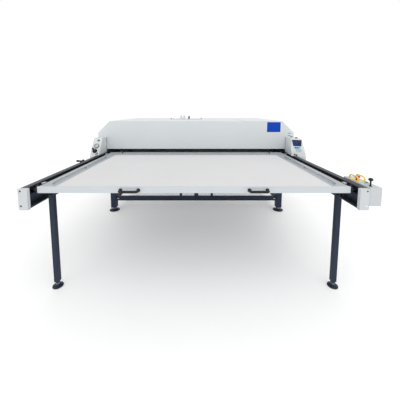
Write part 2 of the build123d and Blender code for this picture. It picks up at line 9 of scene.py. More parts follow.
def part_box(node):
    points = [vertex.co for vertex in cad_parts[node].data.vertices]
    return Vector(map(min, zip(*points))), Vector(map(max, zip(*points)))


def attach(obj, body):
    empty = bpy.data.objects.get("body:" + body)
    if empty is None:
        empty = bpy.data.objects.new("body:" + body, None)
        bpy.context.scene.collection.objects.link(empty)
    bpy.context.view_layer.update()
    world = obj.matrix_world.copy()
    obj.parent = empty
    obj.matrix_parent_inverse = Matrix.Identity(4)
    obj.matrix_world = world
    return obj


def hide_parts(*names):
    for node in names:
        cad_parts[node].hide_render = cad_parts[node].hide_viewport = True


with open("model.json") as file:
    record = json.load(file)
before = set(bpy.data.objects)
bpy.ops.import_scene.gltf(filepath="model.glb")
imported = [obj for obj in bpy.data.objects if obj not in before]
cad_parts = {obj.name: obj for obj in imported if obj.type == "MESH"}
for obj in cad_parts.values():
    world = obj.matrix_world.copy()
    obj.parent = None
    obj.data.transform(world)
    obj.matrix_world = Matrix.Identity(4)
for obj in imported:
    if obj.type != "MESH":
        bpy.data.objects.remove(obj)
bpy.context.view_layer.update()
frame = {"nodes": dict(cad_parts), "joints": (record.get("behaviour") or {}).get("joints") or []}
nodes = frame["nodes"]
MM = 0.001

# where the CAD model's features stand, in metres; a plain X is the right side's, mirrored for the left
CONSOLE_INNER_X, CONSOLE_OUTER_X = 1.121, 1.222
HOOD_SIDE_X = 1.224
CORNER_LOW, CORNER_HIGH = (1.224, 1.138), (1.075, 1.282)      # X and Z of the hood corners' lower and upper edge
LEGS_X, POST_X, POSTS_Y = (-1.103, 1.113), 1.168, (0.353, 1.220)
LEG_FOOT_R, POST_FOOT_R = 0.040, 0.070
AXLES_Y = (-1.225, -0.060)
ROD_X, ROD_Z = 0.984, 0.906
JOYSTICK_AT = (1.170, -1.300)
WHEEL_X, CARRIAGE_X = 1.103, (1.0501, 1.0581, 1.0659)
VALVES_Y, HOOD_TOP_Z, VALVE_PLATE_Z = 0.690, 1.282, 1.290
CABINET_BACK_Y = 1.300

# ---- materials


def srgb(r, g, b):
    """8-bit screen colour to linear RGBA."""
    def linear(v):
        v = v / 255
        return v / 12.92 if v <= 0.04045 else ((v + 0.055) / 1.055) ** 2.4
    return (linear(r), linear(g), linear(b), 1.0)


def shade(colour, factor):
    """The same colour, darker or lighter."""
    return tuple(min(1.0, c * factor) for c in colour[:3]) + (1.0,)


def put(node, values):
    """Set a shader node's inputs."""
    for key, value in values.items():
        node.inputs[key].default_value = value


def material(name, colour, rough=0.5, metallic=0.0, variation=0.05, cloud=4.0, grain=500.0, grain_depth=0.0001,
             stretch=(1, 1, 1), coat=0.0, rough_spread=0.08, sheen=0.0, emission=0.0, edge_highlight=0.0, gloss_level=0.5):
    """A procedural surface: cloudy colour and roughness, fine grain in the relief, and a painted highlight that
    lightens convex edges.
    """
    mat = bpy.data.materials.new(name)
    mat.use_nodes = True
    tree = mat.node_tree
    links, new = tree.links, tree.nodes.new
    surface = tree.nodes["Principled BSDF"]
    place, scale = new("ShaderNodeTexCoord"), new("ShaderNodeMapping")
    put(scale, {"Scale": stretch})
    links.new(place.outputs["Object"], scale.inputs["Vector"])
    clouds = new("ShaderNodeTexNoise")
    put(clouds, {"Scale": cloud, "Detail": 6})
    links.new(scale.outputs["Vector"], clouds.inputs["Vector"])
    ramp = new("ShaderNodeValToRGB")
    for stop, position, factor in zip(ramp.color_ramp.elements, (0.3, 0.7), (1 - variation, 1 + variation)):
        stop.position, stop.color = position, shade(colour, factor)
    links.new(clouds.outputs["Fac"], ramp.inputs["Fac"])
    tint = ramp.outputs["Color"]
    # painted highlight: convex edges, found by pointiness, are lightened as if they caught the light
    if edge_highlight:
        corners, edge, mix = new("ShaderNodeNewGeometry"), new("ShaderNodeMapRange"), new("ShaderNodeMix")
        put(edge, {"From Min": 0.52, "From Max": 0.60, "To Max": edge_highlight})
        links.new(corners.outputs["Pointiness"], edge.inputs["Value"])
        mix.data_type = "RGBA"
        put(mix, {7: shade(colour, 1.6)})
        links.new(edge.outputs["Result"], mix.inputs[0])
        links.new(tint, mix.inputs[6])
        tint = mix.outputs[2]
    links.new(tint, surface.inputs["Base Color"])
    fine = new("ShaderNodeTexNoise")
    put(fine, {"Scale": grain, "Detail": 3})
    links.new(scale.outputs["Vector"], fine.inputs["Vector"])
    gloss = new("ShaderNodeMapRange")
    put(gloss, {"To Min": max(0.02, rough - rough_spread), "To Max": min(1.0, rough + rough_spread)})
    links.new(clouds.outputs["Fac"], gloss.inputs["Value"])
    links.new(gloss.outputs["Result"], surface.inputs["Roughness"])
    bump = new("ShaderNodeBump")
    put(bump, {"Strength": 0.35, "Distance": grain_depth})
    links.new(fine.outputs["Fac"], bump.inputs["Height"])
    links.new(bump.outputs["Normal"], surface.inputs["Normal"])
    put(surface, {"Metallic": metallic, "Coat Weight": coat, "Coat Roughness": 0.15, "Sheen Weight": sheen,
                  "Specular IOR Level": gloss_level})
    if emission:
        put(surface, {"Emission Color": colour, "Emission Strength": emission})
    return mat


def woven(name, colour, thread):
    """Plain-weave cloth: crossing bands for the threads, with soft sheen and faint clouding."""
    mat = material(name, colour, rough=0.85, variation=0.015, cloud=2.5, sheen=0.2)
    tree = mat.node_tree
    links, new = tree.links, tree.nodes.new
    place = new("ShaderNodeTexCoord")
    height = None
    for axis in ("X", "Y"):
        band = new("ShaderNodeTexWave")
        band.bands_direction = axis
        put(band, {"Scale": 0.314 / thread, "Distortion": 0.4})
        links.new(place.outputs["Object"], band.inputs["Vector"])
        if height is None:
            height = band.outputs["Fac"]
        else:
            cross = new("ShaderNodeMath")
            cross.operation = "MAXIMUM"
            links.new(height, cross.inputs[0])
            links.new(band.outputs["Fac"], cross.inputs[1])
            height = cross.outputs[0]
    bump = next(n for n in tree.nodes if n.bl_idname == "ShaderNodeBump")
    links.new(height, bump.inputs["Height"])
    put(bump, {"Distance": 0.0003})
    return mat


def glassy(name, colour, alpha):
    """A clear window with a faint tint."""
    mat = material(name, colour, rough=0.06, variation=0.02, rough_spread=0.03, grain_depth=0.00001)
    put(mat.node_tree.nodes["Principled BSDF"], {"Alpha": alpha, "IOR": 1.45})
    return mat


M = {
    # painted light: the light powder coat is the lighter copy of one paint, kept light to offset the shade on the
    # hood
    "light": material("light_powder_coat", srgb(206, 211, 213), 0.5, variation=0.02, cloud=1.6, grain=650,
                      grain_depth=0.00012, coat=0.1, edge_highlight=0.15),
    "cap": material("cap_coat", srgb(188, 192, 195), 0.5, variation=0.02, cloud=2, grain=650, grain_depth=0.00012,
                    edge_highlight=0.15, gloss_level=0.35),
    # painted shade: the rim coat is a darker copy of the light powder coat, standing in for the dimmer light on the
    # table fascia
    "rim": material("rim_coat_painted_shade", srgb(188, 193, 197), 0.46, variation=0.03, cloud=2.2, grain=650, coat=0.1, edge_highlight=0.2),
    "dark": material("dark_powder_coat", srgb(36, 45, 62), 0.5, variation=0.14, cloud=5, grain=700,
                     grain_depth=0.00015, edge_highlight=0.25, gloss_level=0.2),
    "beam": material("beam_coat", srgb(53, 60, 72), 0.5, variation=0.16, cloud=9, grain=600,
                     grain_depth=0.00015, edge_highlight=0.3, gloss_level=0.35, stretch=(1, 4, 1)),
    "plastic": material("black_plastic", srgb(26, 27, 29), 0.42, variation=0.12, cloud=25, grain=900,
                        grain_depth=0.00015, edge_highlight=0.3, gloss_level=0.25),
    "zinc": material("zinc_steel", srgb(182, 186, 188), 0.32, 0.9, variation=0.10, cloud=30, grain=300,
                     stretch=(1, 6, 1), grain_depth=0.00008),
    "steel": material("turned_steel", srgb(160, 164, 168), 0.28, 1.0, variation=0.08, cloud=18, grain=900,
                      stretch=(8, 1, 1), grain_depth=0.00005),
    "aluminium": material("brushed_aluminium", srgb(172, 177, 181), 0.5, 0.45, variation=0.05, cloud=3, grain=260,
                          stretch=(9, 1, 1), grain_depth=0.0001),
    "platen": material("cast_platen", srgb(120, 124, 130), 0.5, 0.8, variation=0.12, cloud=6, grain=350,
                       grain_depth=0.0003),
    "wool": material("mineral_wool", srgb(196, 184, 142), 0.95, variation=0.2, cloud=20, grain=220,
                     grain_depth=0.0012),
    "pad": woven("pad_cloth", srgb(206, 206, 207), 0.0012),
    "blue": material("blue_plate", srgb(6, 66, 176), 0.45, variation=0.03, cloud=8, grain=900,
                     grain_depth=0.00004, gloss_level=0.15),
    "yellow": material("guard_yellow", srgb(232, 206, 106), 0.4, variation=0.06, cloud=20, grain=800, coat=0.3),
    "red": material("stop_red", srgb(190, 50, 24), 0.45, variation=0.08, cloud=30, grain=800, gloss_level=0.15),
    "green": material("start_green", srgb(26, 112, 72), 0.3, variation=0.08, cloud=30, grain=800, coat=0.4),
    "white": material("white_plastic", srgb(226, 228, 226), 0.35, variation=0.03, cloud=20, grain=900),
    "teal_lamp": material("teal_lamp", srgb(40, 124, 112), 0.4, variation=0.08, cloud=40, gloss_level=0.1),
    "red_lamp": material("red_lamp", srgb(158, 30, 56), 0.4, variation=0.08, cloud=40, gloss_level=0.1),
    "lcd": material("lcd_blue", srgb(8, 24, 92), 0.4, variation=0.15, cloud=60, gloss_level=0.05),
    "lcd_text": material("lcd_segments", srgb(66, 92, 148), 0.4, variation=0.05, cloud=60, gloss_level=0.05),
    "cyan": material("key_strip", srgb(158, 204, 226), 0.4, variation=0.05, cloud=30, grain=900),
    "key": material("key_navy", srgb(14, 34, 84), 0.4, variation=0.08, cloud=40, grain=900, gloss_level=0.15),
    "chrome": material("polished_ring", srgb(205, 207, 208), 0.12, 1.0, variation=0.04, cloud=30, grain=900,
                       grain_depth=0.00002),
    "pin": material("blued_steel", srgb(70, 74, 80), 0.35, 0.8, variation=0.1, cloud=30, grain=900),
    "brass": material("brass", srgb(184, 150, 84), 0.28, 1.0, variation=0.1, cloud=40, grain=600),
    "dial": material("dial_face", srgb(232, 230, 220), 0.5, variation=0.02, cloud=40, grain=900),
    "ink": material("dial_ink", srgb(16, 16, 18), 0.6, variation=0.1, cloud=60, grain=900, gloss_level=0.1),
    "rubber": material("foot_rubber", srgb(24, 24, 25), 0.8, variation=0.15, cloud=40, grain=500,
                       grain_depth=0.0003),
    "bronze": material("bronze_ring", srgb(104, 92, 70), 0.3, 0.7, variation=0.12, cloud=40, grain=700,
                       grain_depth=0.00004),
    "caption": material("caption_grey", srgb(92, 98, 102), 0.5, variation=0.06, cloud=60, grain=900),
    "plastic_grey": material("grey_plastic", srgb(62, 65, 70), 0.4, variation=0.1, cloud=30, grain=900,
                             grain_depth=0.00012),
    "keypad": material("keypad_sheet", srgb(186, 193, 197), 0.4, variation=0.03, cloud=30, grain=900),
    "key_grey": material("keypad_dome", srgb(166, 174, 180), 0.4, variation=0.05, cloud=40, grain=900),
    "key_light": material("key_cyan", srgb(84, 140, 172), 0.4, variation=0.06, cloud=40, grain=900),
    "green_pale": material("pale_green", srgb(176, 200, 188), 0.35, variation=0.05, cloud=40, grain=900),
    "window": glassy("clear_window", (0.5, 0.58, 0.7, 1.0), 0.07),
}

NODE_MATERIAL = {
    "light": ["hood_front", "hood_top", "hood_corners", "hood_sides", "hood_rear", "console_left",
              "console_right", "electrics_cabinet", "top_fittings"],
    "rim": ["table_fascia"], "cap": ["end_caps", "control_box"],
    "dark": ["front_legs", "hood_posts", "lower_frame", "bed_frame", "press_frame", "guide_blocks", "table_frame",
             "lever_bracket", "running_rails"],
    "beam": ["side_beam_left", "side_beam_right"],
    "plastic": ["handles", "guide_pads", "rocker", "lock_lever", "display_bezel", "joystick", "button_bases",
                "regulator_knob", "valve_knob", "timer_knob", "buzzer_knob", "gauge_needle"],
    "zinc": ["carriages", "cap_screws", "platen_cover"],
    "steel": ["platen_rods", "front_wheelset", "rear_wheelset", "clamp_rods"],
    "aluminium": ["table_deck", "press_cylinders", "air_unit"],
    "platen": ["platen_plate"], "wool": ["platen_insulation"], "blue": ["badge_plate"],
    "yellow": ["estop_guard"], "red": ["estop_button"], "green": ["start_button"],
    "key": ["key_down", "key_up", "key_enter"], "chrome": ["gauge_case"], "brass": ["cable_gland"],
    "window": ["instrument_windows"], "red_lamp": ["lamps"], "rubber": ["levelling_feet"], "pad": ["pad"],
}
for key, names in NODE_MATERIAL.items():
    for name in names:
        obj = nodes[name]
        obj.data.materials.clear()
        obj.data.materials.append(M[key])

BEVELS = {"side_beam_left": 2.0, "side_beam_right": 2.0, "front_legs": 2.5, "hood_posts": 3.0, "lower_frame": 2.5,
          "bed_frame": 2.0, "press_frame": 2.0, "table_fascia": 1.2, "table_frame": 1.5, "hood_front": 1.0,
          "hood_top": 1.0, "hood_corners": 1.0, "hood_sides": 1.0, "badge_plate": 0.5, "electrics_cabinet": 1.5,
          "console_left": 1.1, "console_right": 1.1, "carriages": 0.8, "running_rails": 1.0,
          "top_fittings": 1.5, "display_bezel": 0.6, "control_box": 1.1, "lever_bracket": 1.0}
for name, width in BEVELS.items():
    obj = nodes[name]
    weld = obj.modifiers.new("weld", "WELD")
    weld.merge_threshold = 0.00001
    bevel = obj.modifiers.new("bevel", "BEVEL")
    bevel.width = width * MM
    bevel.segments = 2
    bevel.limit_method = "ANGLE"
    bevel.angle_limit = math.radians(35)
    bevel.harden_normals = True

# ---- mesh helpers


def finish_mesh(bm, name, mat, body, replaces=(), smooth=True):
    """Make an object of the mesh, give it its material and say what it rides on."""
    bmesh.ops.recalc_face_normals(bm, faces=bm.faces)
    mesh = bpy.data.meshes.new(name)
    bm.to_mesh(mesh)
    bm.free()
    obj = bpy.data.objects.new(name, mesh)
    bpy.context.scene.collection.objects.link(obj)
    mesh.materials.append(M[mat])
    for face in mesh.polygons:
        face.use_smooth = smooth
    if smooth:
        mesh.set_sharp_from_angle(angle=math.radians(38))
    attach(obj, body)
    if replaces:
        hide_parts(*replaces)
    return obj


def basis(origin, normal, up=(0, 0, 1)):
    """A matrix whose Z is the normal and whose Y points up along the face."""
    z = Vector(normal).normalized()
    x = Vector(up).cross(z)
    if x.length < 1e-4:
        x = Vector((1, 0, 0))
    x.normalize()
    y = z.cross(x)
    return Matrix(((x.x, y.x, z.x, origin[0]), (x.y, y.y, z.y, origin[1]),
                   (x.z, y.z, z.z, origin[2]), (0, 0, 0, 1)))


def at(x, y, z=0.0):
    """A plain shift."""
    return Matrix.Translation((x, y, z))


def spun(place, degrees):
    """The same place turned about its own Z."""
    return place @ Matrix.Rotation(math.radians(degrees), 4, "Z")


def skin(bm, rings):
    """Faces between rings of vertices, closed at both ends."""
    for low, high in zip(rings, rings[1:]):
        for quad in zip(low, low[1:] + low[:1], high[1:] + high[:1], high):
            bm.faces.new(quad)
    bm.faces.new(list(reversed(rings[0])))
    bm.faces.new(rings[-1])


def lathe(bm, profile, place, segments=40, ripple=0.0, ripples=0):
    """Turn a profile of (radius, height) about Z, closed at both ends. Ripples flute its side."""
    rings = []
    for radius, height in profile:
        ring = []
        for i in range(segments):
            angle = 2 * math.pi * i / segments
            r = radius * (1 + ripple * math.cos(ripples * angle))
            ring.append(bm.verts.new(place @ Vector((r * math.cos(angle), r * math.sin(angle), height))))
        rings.append(ring)
    skin(bm, rings)


def turned(name, mat, body, profile, place, segments, replaces=(), ripple=0.0, ripples=0):
    """One lathed piece."""
    bm = bmesh.new()
    lathe(bm, profile, place, segments, ripple, ripples)
    return finish_mesh(bm, name, mat, body, replaces)


def rounded_box(bm, low, high, radius, place=Matrix.Identity(4)):
    """A box between two corners with rounded edges."""
    centre = [(a + b) / 2 for a, b in zip(low, high)]
    size = [b - a for a, b in zip(low, high)]
    verts = bmesh.ops.create_cube(bm, size=1.0)["verts"]
    for v in verts:
        v.co = Vector([c + s * k for c, s, k in zip(centre, size, v.co)])
    edges = list({e for v in verts for e in v.link_edges})
    if radius:
        out = bmesh.ops.bevel(bm, geom=edges, offset=radius, segments=2, profile=0.5, affect="EDGES")
        verts = list({v for f in out["faces"] for v in f.verts} | {v for v in verts if v.is_valid})
    for v in verts:
        v.co = place @ v.co


def mirrored_box(bm, side, x, y, z, radius):
    """A rounded box from (from, to) ranges, its X mirrored to the side."""
    near, far = sorted(side * v for v in x)
    rounded_box(bm, (near, min(y), z[0]), (far, max(y), z[1]), radius)


def socket_screw(bm, place, radius, height):
    """A domed screw head with a hexagon socket sunk in it."""
    lathe(bm, [(radius * 0.98, 0), (radius, height * 0.3), (radius * 0.86, height * 0.85), (radius * 0.6, height),
               (radius * 0.45, height), (radius * 0.42, height * 0.45), (radius * 0.1, height * 0.4)], place, 18)


def tube(bm, points, radius, segments):
    """A round tube along a list of points, closed at both ends."""
    rings = []
    for k, point in enumerate(points):
        before, after = points[max(k - 1, 0)], points[min(k + 1, len(points) - 1)]
        along = (Vector(after) - Vector(before)).normalized()
        side = along.orthogonal().normalized() if k == 0 else (side - along * side.dot(along)).normalized()
        other = along.cross(side)
        rings.append([bm.verts.new(Vector(point) + radius * (math.cos(a) * side + math.sin(a) * other))
                      for a in (2 * math.pi * i / segments for i in range(segments))])
    skin(bm, rings)


def box_of(name):
    """Lowest and highest corner of a node."""
    low, high = (Vector(c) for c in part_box(name))
    return low, high


def middle_of(name):
    """Middle of a node's box."""
    low, high = box_of(name)
    return (low + high) / 2


# ---- table

deck_low, deck_high = box_of("table_deck")
pad_low, pad_high = box_of("pad")
pad_mid = middle_of("pad")
DECK_SKIN_Z = deck_low.z + 0.008                  # the upper face of the deck plate


def make_pad():
    """The press pad: a thin crowned cushion whose edges round down to the deck, with a stitched border."""
    bm = bmesh.new()
    thick = pad_high.z - pad_low.z
    half = Vector(((pad_high.x - pad_low.x) / 2, (pad_high.y - pad_low.y) / 2, 0))
    edge, stitch = 0.007, 0.022

    def height(x, y):
        gap = min(half.x - abs(x), half.y - abs(y))
        k = max(0.0, 1 - gap / edge)
        rise = math.sqrt(max(0.0, 1 - k * k))
        seam = 0.22 * math.exp(-((gap - stitch) / 0.0022) ** 2)
        wave = 0.018 * math.sin(x * 5.1 + 0.7) * math.sin(y * 6.3 + 1.1)
        return thick * (0.25 + 0.73 * rise - seam + wave)

    def spread(count, extent):
        near = [0, 0.0012, 0.003, 0.005, 0.0072, 0.012, 0.017, 0.0195, 0.0208, 0.022, 0.0232, 0.0245, 0.028]
        inner = [-extent + 0.035 + (2 * extent - 0.07) * i / (count - 1) for i in range(count)]
        return [-extent + g for g in near] + inner + [extent - g for g in reversed(near)]

    xs, ys = spread(96, half.x), spread(60, half.y)
    grid = [[bm.verts.new((pad_mid.x + x, pad_mid.y + y, pad_low.z + height(x, y))) for y in ys] for x in xs]
    for i in range(len(xs) - 1):
        for j in range(len(ys) - 1):
            bm.faces.new((grid[i][j], grid[i + 1][j], grid[i + 1][j + 1], grid[i][j + 1]))
    skirt = bmesh.ops.extrude_edge_only(bm, edges=[e for e in bm.edges if e.is_boundary])
    for part in skirt["geom"]:
        if isinstance(part, bmesh.types.BMVert):
            part.co.z = pad_low.z
    bmesh.ops.contextual_create(bm, geom=[e for e in bm.edges if e.is_boundary])
    obj = finish_mesh(bm, "press_pad", "pad", "table", ["pad"])


make_pad()


def table_screws():
    """Countersunk screws that hold the deck to the frame, along both rims and the back."""
    bm = bmesh.new()
    for side in (-1, 1):
        for i in range(9):
            y = deck_low.y + 0.06 + i * (deck_high.y - deck_low.y - 0.12) / 8
            socket_screw(bm, at(side * (deck_high.x - 0.02), y, DECK_SKIN_Z), 0.0052, 0.0012)
    for i in range(11):
        socket_screw(bm, at(-0.95 + 0.19 * i, deck_high.y - 0.02, DECK_SKIN_Z), 0.0052, 0.0012)
    finish_mesh(bm, "deck_screws", "zinc", "table")


table_screws()


def stop_pins():
    """Two small blued stop pins near the back edge of the table."""
    bm = bmesh.new()
    for side in (-1, 1):
        place = at(side * 0.890, deck_high.y - 0.050, DECK_SKIN_Z)
        lathe(bm, [(0.010, 0), (0.010, 0.003), (0.0055, 0.004), (0.0055, 0.016), (0.004, 0.018), (0.001, 0.0185)],
              place, 24)
    finish_mesh(bm, "stop_pins", "pin", "table")


stop_pins()


def make_handles():
    """Two bow handles with round grips and flared feet."""
    z = middle_of("handles").z
    fascia_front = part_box("table_fascia")[0][1]
    grip_r, half, corner = 0.009, 0.060, 0.013
    turn_y = box_of("handles")[0].y + grip_r + corner
    bm = bmesh.new()
    for side in (-1, 1):
        centre = side * 0.432
        points = []
        for end in (-1, 1):
            arc = [(centre + end * (half - corner + corner * math.cos(a)), turn_y - corner * math.sin(a), z)
                   for a in (math.pi / 2 * k / 8 for k in range(9))]
            leg = [(centre + end * half, fascia_front + (turn_y - fascia_front) * k / 4, z) for k in range(4)]
            run = leg + arc
            points += run if end < 0 else list(reversed(run))
        tube(bm, points, grip_r * 0.985, 20)
        for end in (-1, 1):
            foot = basis((centre + end * half, fascia_front, z), (0, -1, 0))
            lathe(bm, [(0.0128, 0), (0.0128, 0.0025), (0.0115, 0.0045), (0.0095, 0.0055)], foot, 28)
    finish_mesh(bm, "bow_handles", "plastic", "table", ["handles"])


make_handles()

# ---- consoles

JOINTS = {j["name"]: j for j in frame["joints"]}


def face_frame(joint, u=0.0, v=0.0):
    """A matrix on a control's axis, Z out of the panel and Y up it, moved back to the panel's zero by (u, v) mm."""
    return basis(JOINTS[joint]["pos_m"], JOINTS[joint]["axis"]) @ at(-u * MM, -v * MM)


def on_face(face, u, v):
    """The point (u, v) mm on a console's face."""
    return face @ at(u * MM, v * MM)


LEFT_FACE = face_frame("gauge_sweep", 3, 3)
RIGHT_FACE = (basis(middle_of("key_up"), Vector(JOINTS["key_up_press"]["axis"]) * -1)
              @ at(6 * MM, 36 * MM, 1.9 * MM))
ROCKER = on_face(LEFT_FACE, 10, 78)
SKEW = -0.106                                     # sideways run of the right face's edges per unit up it


def slab(bm, place, u, v, heights, radius=0.0, skew=0.0):
    """A plate on a panel: (from, to) across, up and out of the face in millimetres, its sides leaning by skew."""
    lean = Matrix.Identity(4)
    lean[0][1] = skew
    rounded_box(bm, (u[0] * MM, v[0] * MM, heights[0] * MM), (u[1] * MM, v[1] * MM, heights[1] * MM), radius * MM,
                place @ lean)


def slabs(name, mat, body, place, plates, replaces=(), smooth=True):
    """Several plates of one material as one piece; each is (u, v, heights, radius, skew)."""
    bm = bmesh.new()
    for plate in plates:
        slab(bm, place, *plate)
    return finish_mesh(bm, name, mat, body, replaces, smooth)


def fluted_knob(name, joint, node, low, high, radius, flutes):
    """A moulded knob: flared skirt, fluted grip, dished top and a white pointer line."""
    place = face_frame(joint) @ at(0, 0, low * MM)
    r, h = radius * MM, (high - low) * MM
    bm = bmesh.new()
    lathe(bm, [(r * 0.2, 0), (r * 0.99, 0), (r * 0.99, h * 0.12), (r * 0.90, h * 0.17)], place, 48)
    lathe(bm, [(r * 0.88, h * 0.16), (r * 0.92, h * 0.2), (r * 0.90, h * 0.85), (r * 0.84, h * 0.95),
               (r * 0.76, h * 0.995), (r * 0.68, h), (r * 0.62, h * 0.95), (r * 0.1, h * 0.93)],
          place, 8 * flutes, 0.035, flutes)
    finish_mesh(bm, name, "plastic", node, [node])
    bm = bmesh.new()
    rounded_box(bm, (-r * 0.06, r * 0.2, h * 0.95), (r * 0.06, r * 0.66, h * 0.975), 0, place)
    finish_mesh(bm, name + "_pointer", "white", node, smooth=False)


fluted_knob("regulator_grip", "regulator_turn", "regulator_knob", 0.5, 20, 25, 16)
fluted_knob("timer_grip", "timer_knob_turn", "timer_knob", 0.6, 16, 8, 10)
fluted_knob("buzzer_grip", "buzzer_knob_turn", "buzzer_knob", 0.6, 16, 8, 10)


def valve_grip():
    """The flow valve's little knob on its stem, with a lock nut."""
    bm = bmesh.new()
    place = face_frame("valve_turn")
    lathe(bm, [(0.0024, 0.0006), (0.0024, 0.0214), (0.0110, 0.0216), (0.0113, 0.0235), (0.0106, 0.0300),
               (0.0085, 0.0318), (0.0020, 0.0319)], place, 96, 0.02, 12)
    lathe(bm, [(0.0042, 0.0006), (0.0042, 0.0060), (0.0026, 0.0062)], place, 6)
    finish_mesh(bm, "valve_grip", "plastic", "valve_knob", ["valve_knob"])


valve_grip()


def gauge_face():
    """The pressure gauge: a stepped bronze ring and body, a dial with printed ticks and a green arc."""
    place = face_frame("gauge_sweep")
    bm = bmesh.new()
    lathe(bm, [(0.0259, 0.0002), (0.0259, 0.0100), (0.0252, 0.0125), (0.0243, 0.0138), (0.0234, 0.0138),
               (0.0230, 0.0128), (0.0230, 0.0042), (0.0010, 0.0041)], place, 64)
    lathe(bm, [(0.0020, -0.0299), (0.0214, -0.0299), (0.0214, -0.0004), (0.0010, -0.0003)], place, 40)
    finish_mesh(bm, "gauge_ring", "bronze", "frame", ["gauge_case"])
    turned("gauge_dial", "dial", "frame", [(0.0228, 0.0043), (0.0228, 0.0048), (0.0005, 0.0048)], place, 56)
    bm = bmesh.new()
    for i in range(31):
        half, inner = (0.0005, 0.0165) if i % 5 == 0 else (0.00025, 0.0185)
        rounded_box(bm, (-half, inner, 0.0049), (half, 0.0208, 0.0050), 0, spun(place, 135 - 9 * i))
    finish_mesh(bm, "gauge_ticks", "ink", "frame", smooth=False)
    bm = bmesh.new()
    for i in range(10):
        rounded_box(bm, (-0.0013, 0.0212, 0.0049), (0.0013, 0.0222, 0.0050), 0, spun(place, -20 - 7 * i))
    finish_mesh(bm, "gauge_arc", "green", "frame", smooth=False)


gauge_face()

# captions are left as plain grey bars, with no lettering
slabs("left_captions", "caption", "frame", LEFT_FACE,
      [((-14, 20), (-27.5, -25), (0.05, 0.25)), ((-2, 22), (62, 64), (0.05, 0.25)),
       ((14, 36), (-84, -82), (0.05, 0.25))], smooth=False)
slabs("rocker_cap", "plastic", "rocker", ROCKER,
      [((-9.8, 9.8), (-5.3, 5.3), (1.7, 4.6), 1.2), ((-9.8, 9.8), (1.0, 5.3), (3.4, 5.0), 0.6)], ["rocker"])
slabs("rocker_mark", "white", "rocker", ROCKER,
      [((-0.5, 0.5), (2.0, 4.3), (4.9, 5.05))], smooth=False)

# the display: a blue liquid-crystal panel behind the window, with two rows of plain blocks for its digits
slabs("lcd_panel", "lcd", "frame", RIGHT_FACE,
      [((-46.5, 16.5), (-2.5, 42.5), (0.7, 1.3))], smooth=False)
digits = []
for row, (low, high) in enumerate(((25, 36), (6, 17))):
    for i in range(6):
        if (row, i) != (1, 5):
            digits.append(((-40 + 8.6 * i, -34 + 8.6 * i), (low, high), (1.32, 1.42), 0, -0.08))
slabs("lcd_digits", "lcd_text", "frame", RIGHT_FACE, digits, smooth=False)
slabs("display_frame", "plastic_grey", "frame", RIGHT_FACE,
      [((-52, -47), (-6, 46), (3.0, 4.0), 0.8, 0), ((17, 22), (-6, 46), (3.0, 4.0), 0.8, 0),
       ((-52, 22), (43, 48), (3.0, 4.0), 0.8, 0), ((-52, 22), (-8, -3), (3.0, 4.0), 0.8, 0)])
slabs("key_strip", "cyan", "frame", RIGHT_FACE,
      [((-43, 24), (-50, -21), (0.05, 0.5), 0, SKEW)], smooth=False)
slabs("keypad_sheet", "keypad", "frame", RIGHT_FACE,
      [((-28, 32), (-84, -54), (0.05, 0.4), 0, SKEW)], smooth=False)
pads = []
for row in range(2):
    for i in range(4):
        pads.append(((-25 + 14.3 * i, -14 + 14.3 * i), (-81 + 13.5 * row, -71 + 13.5 * row), (0.4, 0.9), 0.35, SKEW))
slabs("keypad_domes", "key_grey", "frame", RIGHT_FACE, pads)


def domed_keys():
    """Three round domed keys that replace the plain ones."""
    for i, (node, mat) in enumerate((("key_down", "key"), ("key_up", "key"), ("key_enter", "key_light"))):
        turned(node + "_dome", mat, node,
               [(0.0044, -0.009), (0.0044, 0.0022), (0.0078, 0.0023), (0.0079, 0.0036), (0.0072, 0.0046),
                (0.0050, 0.0051), (0.0010, 0.0052)], on_face(RIGHT_FACE, -25 + 19 * i, -36), 36, [node])


domed_keys()


def lamp_lens(name, mat, x, y, radius):
    """A signal lamp on the console's top: a chromed collar and a ribbed lens dome."""
    base = at(x, y, box_of("console_right")[1].z)
    turned(name + "_collar", "chrome", "frame",
           [(radius, 0.0001), (radius, 0.0012), (radius * 0.97, 0.0018), (radius * 0.92, 0.0018)], base, 40)
    turned(name, mat, "frame",
           [(radius * 0.92, 0.0010), (radius * 0.92, 0.0088), (radius * 0.84, 0.0110), (radius * 0.62, 0.0123),
            (radius * 0.30, 0.0129), (radius * 0.03, 0.013)], base, 72, ["lamps"], 0.03, 18)


lamp_lens("ready_lamp", "red_lamp", 1.191, -0.098, 0.016)
lamp_lens("power_lamp", "teal_lamp", 1.176, 0.002, 0.014)


def console_trim():
    """Black strips painted as the shade in the gap where the consoles meet the hood, and small screws on their inner
    sides and faces.
    """
    bm = bmesh.new()
    # painted shade: a thin black strip along each console's back edge stands for the dark gap against the hood
    for side in (-1, 1):
        x = side * CONSOLE_INNER_X
        rounded_box(bm, (x - 0.0012, 0.0445, 0.905), (x + 0.0012, 0.0478, 1.084), 0.0004)
    finish_mesh(bm, "console_gap_shade", "ink", "frame")
    bm = bmesh.new()
    for u in (-43, 43):
        for v in (-60, 98):
            socket_screw(bm, on_face(LEFT_FACE, u, v), 0.0030, 0.0013)
    for u, v in ((46, -66), (-38, -66), (28, 76)):
        socket_screw(bm, on_face(RIGHT_FACE, u, v), 0.0030, 0.0013)
    for side in (-1, 1):
        for y in (-0.04, 0.02):
            for z in (1.06, 0.83):
                socket_screw(bm, basis((side * CONSOLE_OUTER_X, y, z), (side, 0, 0)), 0.0032, 0.0013)
    finish_mesh(bm, "console_screws", "zinc", "frame")


console_trim()

# ---- control box

box_top = box_of("control_box")[1].z


